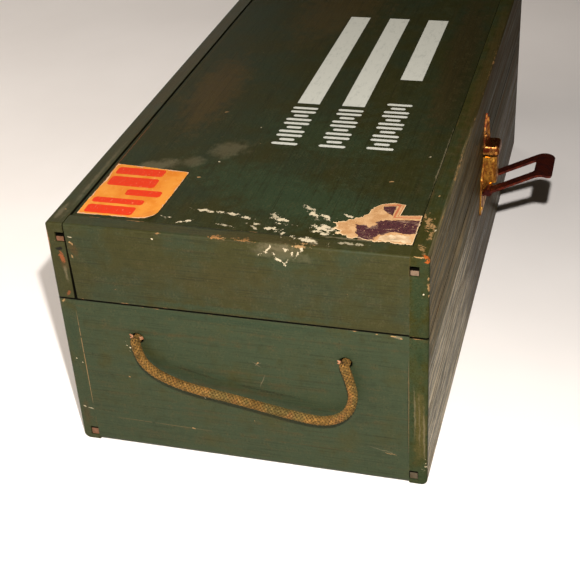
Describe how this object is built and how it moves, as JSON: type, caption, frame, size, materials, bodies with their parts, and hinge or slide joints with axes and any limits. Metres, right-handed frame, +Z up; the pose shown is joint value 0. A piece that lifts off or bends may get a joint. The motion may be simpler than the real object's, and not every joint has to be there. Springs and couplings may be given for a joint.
{
  "type": "footlocker",
  "caption": "Small painted wooden footlocker with a hinged lid, a snap latch with a swinging loop, and a hanging rope handle at each end.",
  "frame": {"origin": "centre of the box's underside, on the surface that it stands on; the latch, hinges and ropes are not counted", "axes": "+Z up, +X along the box's length, -Y towards the front with the latch, +Y towards the hinges"},
  "size_m": [0.3576, 0.2048, 0.1187],
  "materials": {
    "painted_wood": "worn semi-gloss olive green paint on softwood",
    "brass": "tarnished brass plate",
    "dark_brass": "dark tarnished red-brown brass",
    "steel": "dull steel",
    "rope": "braided olive-tan cotton rope",
    "orange_paper": "old printed paper",
    "torn_paper": "torn paper with print left on it"
  },
  "bodies": {
    "base": {"base_back_board": "painted_wood", "base_bottom_panel": "painted_wood", "base_frame_nails": "steel", "base_front_board": "painted_wood", "base_left_end": "painted_wood", "base_right_end": "painted_wood", "hinge_base_tacks": "brass", "latch_base_plate": "brass", "latch_cover": "brass", "latch_spring": "steel", "latch_tacks": "brass", "left_hinge_base_leaf": "brass", "left_hinge_pin": "steel", "left_rope_knots": "rope", "right_hinge_base_leaf": "brass", "right_hinge_pin": "steel", "right_rope_knots": "rope"},
    "lid": {"hinge_lid_tacks": "brass", "left_hinge_lid_leaf": "brass", "lid_back_rail": "painted_wood", "lid_catch_plate": "brass", "lid_catch_tacks": "brass", "lid_frame_nails": "steel", "lid_front_rail": "painted_wood", "lid_left_end": "painted_wood", "lid_right_end": "painted_wood", "lid_top_panel": "painted_wood", "orange_label": "orange_paper", "right_hinge_lid_leaf": "brass", "torn_label": "torn_paper"},
    "latch_loop": {"latch_loop": "dark_brass", "latch_axle": "dark_brass"},
    "left_handle": {"left_rope_handle": "rope"},
    "right_handle": {"right_rope_handle": "rope"}
  },
  "joints": [
    {"name": "lid_hinge", "type": "hinge", "parent": "base", "child": "lid", "pos_m": [0, 0.0846, 0.0805], "axis": [-1, 0, 0], "range_deg": [0, 180]},
    {"name": "latch_pivot", "type": "hinge", "parent": "base", "child": "latch_loop", "pos_m": [0, -0.0865, 0.0623], "axis": [-1, 0, 0], "range_deg": [0, 63.4]},
    {"name": "left_handle_swing", "type": "hinge", "parent": "base", "child": "left_handle", "pos_m": [-0.1746, 0, 0.0626], "axis": [0, 1, 0], "range_deg": [0, 150]},
    {"name": "right_handle_swing", "type": "hinge", "parent": "base", "child": "right_handle", "pos_m": [0.1746, 0, 0.0626], "axis": [0, -1, 0], "range_deg": [0, 150]}
  ]
}
